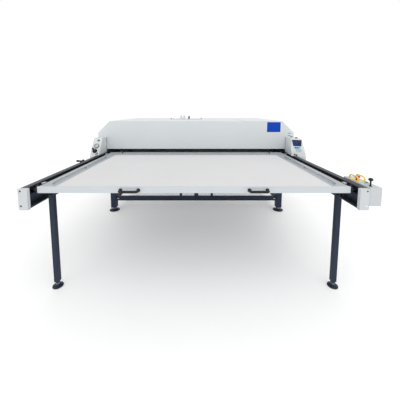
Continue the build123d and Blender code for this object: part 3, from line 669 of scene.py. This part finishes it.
def stop_button():
    """The mushroom head with its three arrows."""
    low, high = box_of("estop_button")
    mid, top = middle_of("estop_button"), high.z
    r = (high.x - low.x) / 2
    place = at(mid.x, mid.y)
    turned("stop_mushroom", "red", "estop_button",
           [(0.0100, low.z), (0.0100, top - 0.0125), (r * 0.80, top - 0.0120), (r * 0.995, top - 0.0100),
            (r * 0.995, top - 0.0065), (r * 0.93, top - 0.0035), (r * 0.72, top - 0.0012),
            (r * 0.45, top - 0.0003), (r * 0.05, top)], place, 56, ["estop_button"])
    bm = bmesh.new()
    for i in range(3):
        spin = spun(place, 120 * i)
        for k in range(7):
            rounded_box(bm, (-0.0007, r * 0.50, top - 0.0006), (0.0007, r * 0.56, top - 0.0001), 0, spun(spin, 9 * k))
        rounded_box(bm, (-0.0012, r * 0.44, top - 0.0006), (0.0004, r * 0.62, top - 0.0001), 0, spun(spin, 62))
    finish_mesh(bm, "stop_arrows", "white", "estop_button", smooth=False)


stop_button()


def start_button():
    """A dished cap in a pale collar."""
    low, high = box_of("start_button")
    mid, top = middle_of("start_button"), high.z
    r = (high.x - low.x) / 2
    place = at(mid.x, mid.y)
    turned("start_cap", "green", "start_button",
           [(r * 0.98, low.z), (r * 0.98, top - 0.003), (r * 0.95, top - 0.0012), (r * 0.85, top - 0.0002),
            (r * 0.70, top - 0.0006), (r * 0.05, top - 0.0010)], place, 48, ["start_button"])
    turned("start_collar", "green_pale", "frame",
           [(0.0098, box_top), (0.0124, box_top), (0.0124, box_top + 0.0070), (0.0118, box_top + 0.0086),
            (0.0104, box_top + 0.0089), (0.0098, box_top + 0.0080)], place, 48, ["button_bases"])


start_button()


def control_bases():
    """The joystick's ring, the rocker's bezel and the air fitting on the left console."""
    turned("joystick_ring", "plastic", "frame",
           [(0.0072, box_top), (0.0100, box_top), (0.0098, box_top + 0.0022), (0.0085, box_top + 0.0029),
            (0.0073, box_top + 0.0029)], at(*JOYSTICK_AT), 36, ["button_bases"])
    slabs("rocker_bezel", "plastic", "frame", ROCKER,
          [((-12.4, -10.3), (-7.9, 7.9), (0.05, 2.9), 0.5), ((10.3, 12.4), (-7.9, 7.9), (0.05, 2.9), 0.5),
           ((-12.4, 12.4), (-7.9, -5.9), (0.05, 2.9), 0.5), ((-12.4, 12.4), (5.9, 7.9), (0.05, 2.9), 0.5)],
          ["button_bases"])
    bm = bmesh.new()
    place = spun(on_face(LEFT_FACE, 24, -98), 35)
    slab(bm, place, (-16.8, 16.8), (-4.8, 4.8), (0.05, 7.8), 3.2)
    for u in (-10, 10):
        lathe(bm, [(0.0030, 0.0075), (0.0030, 0.0092), (0.0018, 0.0098)], on_face(place, u, 0), 20)
    finish_mesh(bm, "air_manifold", "bronze", "frame", ["button_bases"])


control_bases()


def joystick_knob():
    """A round knob on a rod, with three bellows folds at its foot."""
    low, high = box_of("joystick")
    mid = middle_of("joystick")
    r, ball = (high.x - low.x) / 2, high.z - 0.0115
    profile = [(0.0012, low.z), (0.0045, low.z + 0.0010), (0.0054, low.z + 0.0050), (0.0048, low.z + 0.0080),
               (0.0048, box_top + 0.004)]
    for k in range(3):
        z = box_top + 0.0042 + 0.0024 * k
        profile += [(0.0058 - 0.0002 * k, z), (0.0050, z + 0.0012)]
    profile += [(0.0048, box_top + 0.012), (0.0048, ball - 0.0110), (0.0072, ball - 0.0105)]
    for k in range(1, 12):
        angle = -math.pi / 2 + math.pi * (k + 0.6) / 12.6
        profile.append((r * 0.99 * math.cos(angle), ball + 0.0113 * math.sin(angle)))
    profile.append((0.0006, high.z - 0.0001))
    turned("joystick_knob", "plastic", "joystick", profile, at(mid.x, mid.y), 48, ["joystick"])


joystick_knob()


def box_details():
    """Fixing screws and the lid's seam on the control box."""
    low, high = box_of("control_box")
    bm = bmesh.new()
    for y in (low.y + 0.030, (low.y + high.y) / 2, high.y - 0.030):
        for z in (high.z - 0.016, low.z + 0.016):
            socket_screw(bm, basis((high.x, y, z), (1, 0, 0)), 0.0030, 0.0012)
    finish_mesh(bm, "box_screws", "zinc", "frame")
    bm = bmesh.new()
    rounded_box(bm, (high.x - 0.0002, low.y + 0.004, high.z - 0.0305),
                (high.x + 0.0004, high.y - 0.002, high.z - 0.0295), 0)
    finish_mesh(bm, "box_seam", "ink", "frame", smooth=False)


box_details()


def cap_marks():
    """Screws of the end caps: dark socket heads, a slotted one high on the right and a white plug below it."""
    low, high = box_of("cap_screws")
    head_r, head_h = 0.0060, 0.0026
    right_x, face_y = high.x - head_r, low.y + head_h
    low_z, high_z = low.z + head_r, high.z - head_r
    dark, slotted = bmesh.new(), bmesh.new()
    for z in (low_z, high_z):
        socket_screw(dark, basis((-right_x, face_y, z), (0, -1, 0)), 0.0059, head_h)
    finish_mesh(dark, "cap_screws_left", "plastic", "frame", ["cap_screws"])
    place = basis((right_x, face_y, high_z), (0, -1, 0))
    lathe(slotted, [(0.0059, 0), (0.0059, 0.0010), (0.0050, 0.0016), (0.0008, 0.0017)], place, 32)
    rounded_box(slotted, (-0.0100, -0.0022, 0.0017), (0.0095, 0.0022, 0.0025), 0.0003, place)
    finish_mesh(slotted, "cap_latch_right", "caption", "frame", ["cap_screws"])
    turned("cap_plug_right", "white", "frame",
           [(0.0060, -0.002), (0.0075, 0.0001), (0.0072, 0.0012), (0.0050, 0.0022), (0.0006, 0.0024)],
           basis((right_x, face_y - 0.0001, low_z), (0, -1, 0)), 32, ["cap_screws"])


cap_marks()

# ---- frame details


def edge_strips():
    """Black strips along the inner edge of each beam's top flange, painted as the shade of the gap between beam and
    table.
    """
    low, high = box_of("side_beam_right")
    thick, run_y = 0.0012, (-1.305, 0.04)
    for side, name in ((-1, "left"), (1, "right")):
        bm = bmesh.new()
        # painted shade: black strips over the flange's inner edge stand for the shade of the gap beside the table
        mirrored_box(bm, side, (low.x, low.x + 0.016), run_y, (high.z + 0.0001, high.z + thick), 0.0004)
        mirrored_box(bm, side, (low.x - thick, low.x), run_y, (high.z - 0.012, high.z + thick), 0.0004)
        finish_mesh(bm, "gap_shade_strip_" + name, "ink", "frame")


edge_strips()


def hex_bolt(bm, place, radius):
    """A hexagon head on a washer."""
    base = radius * 0.18
    lathe(bm, [(radius * 1.55, 0), (radius * 1.55, base), (radius * 0.5, radius * 0.2)], place, 24)
    lathe(bm, [(radius * 1.12, base), (radius * 1.15, base + radius * 0.1), (radius * 1.15, base + radius * 0.65),
               (radius * 0.95, base + radius * 0.78), (radius * 0.05, base + radius * 0.8)], place, 6)


def levelling_feet():
    """Each foot: rubber-soled disc, threaded stem, lock nut under the post and a nut above the disc."""
    leg_y = middle_of("front_legs").y
    spots = [(x, leg_y, LEG_FOOT_R, 0.044) for x in LEGS_X]
    spots += [(side * POST_X, y, POST_FOOT_R, 0.046) for side in (-1, 1) for y in POSTS_Y]
    stems, discs, soles = bmesh.new(), bmesh.new(), bmesh.new()
    for x, y, disc, top in spots:
        place = at(x, y)
        lathe(soles, [(disc * 0.96, 0.0), (disc * 0.995, 0.001), (disc * 0.995, 0.0032)], place, 56)
        lathe(discs, [(disc * 0.2, 0.003), (disc * 0.985, 0.0033), (disc * 0.985, 0.0065), (disc * 0.94, 0.0072),
                      (disc * 0.60, 0.0115), (disc * 0.45, 0.0150), (0.0165, 0.0185), (0.0150, 0.0195)], place, 56)
        lathe(discs, [(0.0185, top - 0.0088), (0.0190, top - 0.0080), (0.0190, top - 0.0010), (0.0180, top - 0.0002)],
              place, 6)
        profile = [(0.0095, 0.016)]
        z = 0.018
        while z < top - 0.010:
            profile += [(0.0098, z), (0.0088, z + 0.00075)]
            z += 0.0015
        lathe(stems, profile + [(0.0095, top - 0.004)], place, 24)
        lathe(stems, [(0.0150, 0.0188), (0.0155, 0.0194), (0.0155, 0.0245), (0.0145, 0.0252)], place, 6)
    finish_mesh(stems, "foot_stems", "zinc", "frame")
    finish_mesh(discs, "foot_discs", "dark", "frame", ["levelling_feet"])
    finish_mesh(soles, "foot_soles", "rubber", "frame", ["levelling_feet"])


levelling_feet()


def frame_bolts():
    """Hexagon bolts at the frame's joints."""
    bm = bmesh.new()
    for side in (-1, 1):
        for y in (-1.102, -1.022):
            for x in (1.098, 1.128):
                hex_bolt(bm, at(side * x, y, 0.770), 0.005)
        for y in (0.316, 0.390, 0.803, 0.877):
            hex_bolt(bm, basis((side * 1.203, y, 0.80), (side, 0, 0)), 0.007)
        for y in POSTS_Y:
            for z in (0.160, 0.188):
                hex_bolt(bm, basis((side * 1.2055, y, z), (side, 0, 0)), 0.006)
            for x in (1.098, 1.112):
                hex_bolt(bm, basis((side * x, y - 0.021, 0.174), (0, -1, 0)), 0.0045)
    finish_mesh(bm, "frame_bolts", "zinc", "frame")


frame_bolts()


def weld_beads():
    """Fillet welds where the stretchers and stiles meet."""
    bm = bmesh.new()

    def bead(start, end):
        start, end = Vector(start), Vector(end)
        count = max(6, int((end - start).length / 0.0035))
        tube(bm, [start.lerp(end, k / count) for k in range(count + 1)], 0.0028, 8)

    for side in (-1, 1):
        for y in POSTS_Y:
            for edge in (-0.021, 0.021):
                bead((side * 1.1300, y + edge, 0.145), (side * 1.1300, y + edge, 0.203))
    for x, width in ((-0.219, 0.033), (0.0, 0.058), (0.219, 0.033)):
        for z in (0.2045, 0.6395):
            bead((x - width / 2, 0.337, z), (x + width / 2, 0.337, z))
    finish_mesh(bm, "weld_beads", "dark", "frame")


weld_beads()

# ---- hood details

hood_low, hood_high = box_of("hood_front")


def hood_details():
    """Screws and seam of the hood, two yellow index marks, grey caption bars and the badge's white border."""
    bm = bmesh.new()
    for i in range(13):
        for y in (hood_low.y + 0.022, 1.320):
            socket_screw(bm, at(-1.02 + 0.17 * i, y, hood_high.z), 0.0030, 0.0010)
    for side in (-1, 1):
        for y in (0.30, 0.60, 0.90, 1.20):
            for z in (0.80, 1.115):
                socket_screw(bm, basis((side * HOOD_SIDE_X, y, z), (side, 0, 0)), 0.0035, 0.0012)
        x, z = CORNER_LOW
        run, rise = CORNER_HIGH[0] - x, CORNER_HIGH[1] - z
        for y in (0.15, 0.45, 0.75, 1.05, 1.28):
            for k in (0.08, 0.92):
                spot = (side * (x + run * k), y, z + rise * k)
                socket_screw(bm, basis(spot, (side * rise, 0, -run)), 0.0032, 0.0011)
    finish_mesh(bm, "hood_screws", "zinc", "frame")
    bm = bmesh.new()
    for x in (-0.934, 0.936):
        lathe(bm, [(0.0065, 0.0), (0.0065, 0.0010), (0.0055, 0.0016), (0.0005, 0.0018)],
              basis((x, hood_low.y, 0.956), (0, -1, 0)), 24)
    finish_mesh(bm, "index_marks", "yellow", "frame")
    bm = bmesh.new()
    for x0, x1, z in ((1.146, 1.184, 1.1275), (1.147, 1.180, 1.0975)):
        rounded_box(bm, (x0, hood_low.y - 0.0006, z), (x1, hood_low.y - 0.0001, z + 0.007), 0)
    finish_mesh(bm, "hood_captions", "caption", "frame", smooth=False)
    bm = bmesh.new()
    rounded_box(bm, (0.6215, hood_low.y - 0.0004, 1.262), (0.6225, hood_low.y - 0.0001, 1.2818), 0)
    rounded_box(bm, (0.6213, hood_low.y + 0.003, 1.2815), (0.6227, 1.336, 1.28215), 0)
    finish_mesh(bm, "hood_seam", "caption", "frame", smooth=False)
    low, high = box_of("badge_plate")
    left, right = low.x - 0.006, high.x + 0.006
    bm = bmesh.new()
    for x0, x1, z0, z1 in ((left, right, high.z, high.z + 0.005), (left, right, low.z - 0.005, low.z),
                           (left, low.x, low.z, high.z), (high.x, right, low.z, high.z)):
        rounded_box(bm, (x0, high.y - 0.0009, z0), (x1, high.y - 0.0001, z1), 0)
    finish_mesh(bm, "badge_border", "white", "frame", smooth=False)


hood_details()


def rear_louvres():
    """Pressed louvre hoods over the rear vent slots."""
    bm = bmesh.new()
    slot_y = box_of("hood_rear")[1].y - 0.0062
    steps = 6
    for x in (-0.7, 0.0, 0.7):
        for k in range(6):
            z = 1.080 + (k - 2.5) * 0.026
            rings = []
            for step in range(steps + 1):
                angle = math.pi / 2 * step / steps
                half = 0.092 if step == steps else 0.098
                y, rise = slot_y + 0.0055 * math.sin(angle), 0.009 * math.cos(angle)
                rings.append([bm.verts.new((x + part * half, y, z + rise)) for part in (-1, -0.9, 0, 0.9, 1)])
            for a, b in zip(rings, rings[1:]):
                for i in range(4):
                    bm.faces.new((a[i], a[i + 1], b[i + 1], b[i]))
    made = finish_mesh(bm, "rear_louvres", "light", "frame")
    made.modifiers.new("sheet", "SOLIDIFY").thickness = 0.0009


rear_louvres()


def top_valves():
    """On the hood: two small solenoid valves, a regulator stub, two bulkhead fittings and a blanking cap."""
    plate = VALVE_PLATE_Z
    bm = bmesh.new()
    for x in (-0.230, -0.186):
        rounded_box(bm, (x - 0.0148, 0.6752, plate + 0.0002), (x + 0.0148, 0.7048, plate + 0.0300), 0.0016)
        rounded_box(bm, (x - 0.0125, 0.6775, plate + 0.0300), (x + 0.0125, 0.7025, plate + 0.0490), 0.0022)
        lathe(bm, [(0.0070, 0), (0.0070, 0.0028), (0.0030, 0.0030)], at(x, VALVES_Y, plate + 0.0488), 24)
    finish_mesh(bm, "solenoid_valves", "light", "frame", ["top_fittings"])
    bm = bmesh.new()
    lathe(bm, [(0.0115, 0.0002), (0.0115, 0.0260), (0.0095, 0.0290), (0.0095, 0.0400), (0.0080, 0.0430),
               (0.001, 0.0439)], at(-0.113, VALVES_Y, plate), 40, 0.03, 16)
    for x in (-0.382, 0.073):
        lathe(bm, [(0.0070, 0.0002), (0.0070, 0.0060), (0.0055, 0.0070), (0.0058, 0.0125), (0.0040, 0.0138)],
              at(x, VALVES_Y, plate), 24)
    finish_mesh(bm, "bulkhead_fittings", "plastic", "frame", ["top_fittings"])
    turned("blanking_cap", "white", "frame",
           [(0.0140, 0.0002), (0.0140, 0.0050), (0.0115, 0.0085), (0.0060, 0.0098), (0.0005, 0.0100)],
           at(-0.611, VALVES_Y, HOOD_TOP_Z), 36, ["top_fittings"])


top_valves()

# ---- table running gear


def carriage_pieces():
    """The four wheel carriages: dark bent plates with bolts, and bright cover plates above."""
    dark, bright, bolts = bmesh.new(), bmesh.new(), bmesh.new()
    inner_x, web_x, outer_x = CARRIAGE_X
    for axle_y, inward, outer_end in ((AXLES_Y[0], 1, -1.285), (AXLES_Y[1], -1, -0.009)):
        inner_end = axle_y + inward * 0.060
        near, far = axle_y + inward * 0.020, axle_y + inward * 0.051
        for side in (-1, 1):
            mirrored_box(dark, side, (web_x, outer_x), (outer_end, inner_end), (0.8361, 0.8929), 0.0014)
            mirrored_box(dark, side, (inner_x, web_x), (outer_end + 0.004 * inward, inner_end - 0.004 * inward),
                         (0.8581, 0.8839), 0.001)
            mirrored_box(bright, side, (1.0590, 1.0798), (near, far), (0.8931, 0.8978), 0.0010)
            mirrored_box(dark, side, (1.0502, 1.0588), (near, far), (0.8931, 0.8970), 0.0010)
            mirrored_box(dark, side, (1.0502, 1.0579), (near, far), (0.8841, 0.8931), 0.0008)
            for y in (axle_y - inward * 0.030, axle_y + inward * 0.036):
                socket_screw(bolts, basis((side * outer_x, y, 0.850), (side, 0, 0)), 0.0048, 0.0030)
            for y in (near + inward * 0.008, far - inward * 0.008):
                socket_screw(bolts, at(side * 1.066, y, 0.8978), 0.0035, 0.0014)
    finish_mesh(dark, "carriage_plates", "dark", "table", ["carriages"])
    finish_mesh(bright, "carriage_covers", "rim", "table", ["carriages"])
    finish_mesh(bolts, "carriage_screws", "zinc", "table")


carriage_pieces()


def bed_liner():
    """The light cloth glued on the press bed, seen through the gap under the hood."""
    bm = bmesh.new()
    rounded_box(bm, (-1.036, 0.062, 0.8501), (1.036, 1.294, 0.8508), 0)
    finish_mesh(bm, "bed_liner", "pad", "frame", smooth=False)


bed_liner()


def wheelset(node):
    """An axle with grooved plastic-tyred wheels, and small black discs painted as the shade of dimples in their outer
    faces.
    """
    mid, half = middle_of(node), box_of(node)[1].x
    centre = Vector((0, mid.y, mid.z))
    bm = bmesh.new()
    for side in (-1, 1):
        place = basis(centre, (side, 0, 0))
        lathe(bm, [(0.008, 0.0), (0.008, half - 0.0022), (0.0070, half - 0.0008), (0.0010, half - 0.0001)], place, 28)
    finish_mesh(bm, node + "_axle", "steel", node, [node])
    tyres, dimple_shade = bmesh.new(), bmesh.new()
    for side in (-1, 1):
        place = basis(centre + Vector((side * WHEEL_X, 0, 0)), (side, 0, 0))
        lathe(tyres, [(0.0085, 0.0), (0.0120, 0.0004), (0.0172, 0.0004), (0.0180, 0.0016), (0.0180, 0.0090),
                      (0.0176, 0.0100), (0.0176, 0.0120), (0.0180, 0.0130), (0.0180, 0.0204), (0.0172, 0.0216),
                      (0.0120, 0.0216), (0.0085, 0.0219)], place, 48)
        # painted shade: each dimple is a black disc standing for the shade inside it
        for i in range(5):
            spin = spun(place, 72 * i) @ at(0.0128, 0, 0.0214)
            lathe(dimple_shade, [(0.0022, 0.0), (0.0022, 0.0004), (0.0005, 0.0005)], spin, 16)
    finish_mesh(tyres, node + "_tyres", "plastic_grey", node, [node])
    finish_mesh(dimple_shade, node + "_dimple_shade", "ink", node)


wheelset("front_wheelset")
wheelset("rear_wheelset")


def clamp_rod_pieces():
    """The cover clamp rods on each rim: a bright rod in split clamp blocks with screws."""
    rods, blocks, screws = bmesh.new(), bmesh.new(), bmesh.new()
    for side in (-1, 1):
        x = side * ROD_X
        lathe(rods, [(0.0025, 0), (0.0034, 0.001), (0.0034, 0.909), (0.0025, 0.910)],
              basis((x, -1.220, ROD_Z), (0, 1, 0)), 24)
        for y in (-1.215, -0.765, -0.315):
            rounded_box(blocks, (x - 0.0059, y - 0.0059, 0.8961), (x + 0.0059, y + 0.0059, 0.9105), 0.0012)
            socket_screw(screws, at(x, y, 0.9104), 0.0022, 0.0015)
    finish_mesh(rods, "cover_rods", "steel", "table", ["clamp_rods"])
    finish_mesh(blocks, "rod_clamps", "aluminium", "table", ["clamp_rods"])
    finish_mesh(screws, "rod_clamp_screws", "zinc", "table")


clamp_rod_pieces()

# ---- services at the back


def cabinet_details():
    """Door seam, hinges and a quarter-turn lock on the electrics cabinet, and the cable gland's nuts."""
    y = CABINET_BACK_Y
    bm = bmesh.new()
    for x0, x1, z0, z1 in ((0.535, 0.985, 0.434, 0.4352), (0.535, 0.985, 0.690, 0.6912),
                           (0.535, 0.5362, 0.434, 0.691), (0.9838, 0.985, 0.434, 0.691)):
        rounded_box(bm, (x0, y, z0), (x1, y + 0.0004, z1), 0)
    finish_mesh(bm, "cabinet_seam", "ink", "frame", smooth=False)
    bm = bmesh.new()
    for z in (0.48, 0.645):
        lathe(bm, [(0.0035, 0), (0.0035, 0.040), (0.0010, 0.0402)], at(0.529, y + 0.003, z - 0.02), 16)
    lathe(bm, [(0.0100, 0), (0.0100, 0.003), (0.0085, 0.004), (0.0035, 0.004), (0.0030, 0.0010)],
          basis((0.965, y, 0.56), (0, 1, 0)), 32)
    finish_mesh(bm, "cabinet_fittings", "zinc", "frame")
    low, high = box_of("cable_gland")
    mid = middle_of("cable_gland")
    place = at(mid.x, mid.y)
    bm = bmesh.new()
    lathe(bm, [(0.0062, low.z), (0.0100, low.z), (0.0118, low.z + 0.002), (0.0120, low.z + 0.015)],
          place, 48, 0.03, 16)
    lathe(bm, [(0.0062, low.z + 0.0155), (0.0158, low.z + 0.0160), (0.0158, high.z - 0.001),
               (0.0062, high.z)], place, 6)
    finish_mesh(bm, "gland_nuts", "brass", "frame")


cabinet_details()

# ---- camera, light and stage

scene = bpy.context.scene
camera_data = bpy.data.cameras.new("camera")
camera = bpy.data.objects.new("camera", camera_data)
scene.collection.objects.link(camera)
# fitted to the photo's receding edges
camera.location = (0.030, -2.750, 1.400)
camera.rotation_euler = (math.radians(84.31), 0, 0)
camera_data.sensor_width, camera_data.lens = 36, 20.25
camera_data.shift_x, camera_data.shift_y = 0.004, -0.165
scene.camera = camera

floor_mesh = bpy.data.meshes.new("floor")
bm = bmesh.new()
bmesh.ops.create_grid(bm, x_segments=1, y_segments=1, size=30)
bm.to_mesh(floor_mesh)
bm.free()
floor = bpy.data.objects.new("floor", floor_mesh)
scene.collection.objects.link(floor)
M["floor"] = material("pale_floor", (0.86, 0.86, 0.86, 1.0), 0.85, variation=0.005, cloud=0.6, grain=80,
                      grain_depth=0.0001, emission=0.25, gloss_level=0.2)
floor_mesh.materials.append(M["floor"])

scene.view_settings.view_transform = "Standard"
world = bpy.data.worlds.new("world")
scene.world = world
world.use_nodes = True
put(world.node_tree.nodes["Background"], {"Color": (1, 1, 1, 1), "Strength": 1.0})


def area_light(name, place, target, size, power):
    """A soft rectangular lamp that points at a target."""
    data = bpy.data.lights.new(name, "AREA")
    data.shape = "RECTANGLE"
    data.size, data.size_y = size
    data.energy = power
    lamp = bpy.data.objects.new(name, data)
    scene.collection.objects.link(lamp)
    lamp.location = place
    lamp.rotation_euler = (Vector(target) - Vector(place)).to_track_quat("-Z", "Y").to_euler()


area_light("key_lamp", (1.5, -3.2, 4.6), (0, -0.2, 0.9), (4.0, 3.0), 45)
area_light("front_fill", (-2.5, -5.5, 2.2), (0, 0, 1.0), (4.0, 2.5), 18)
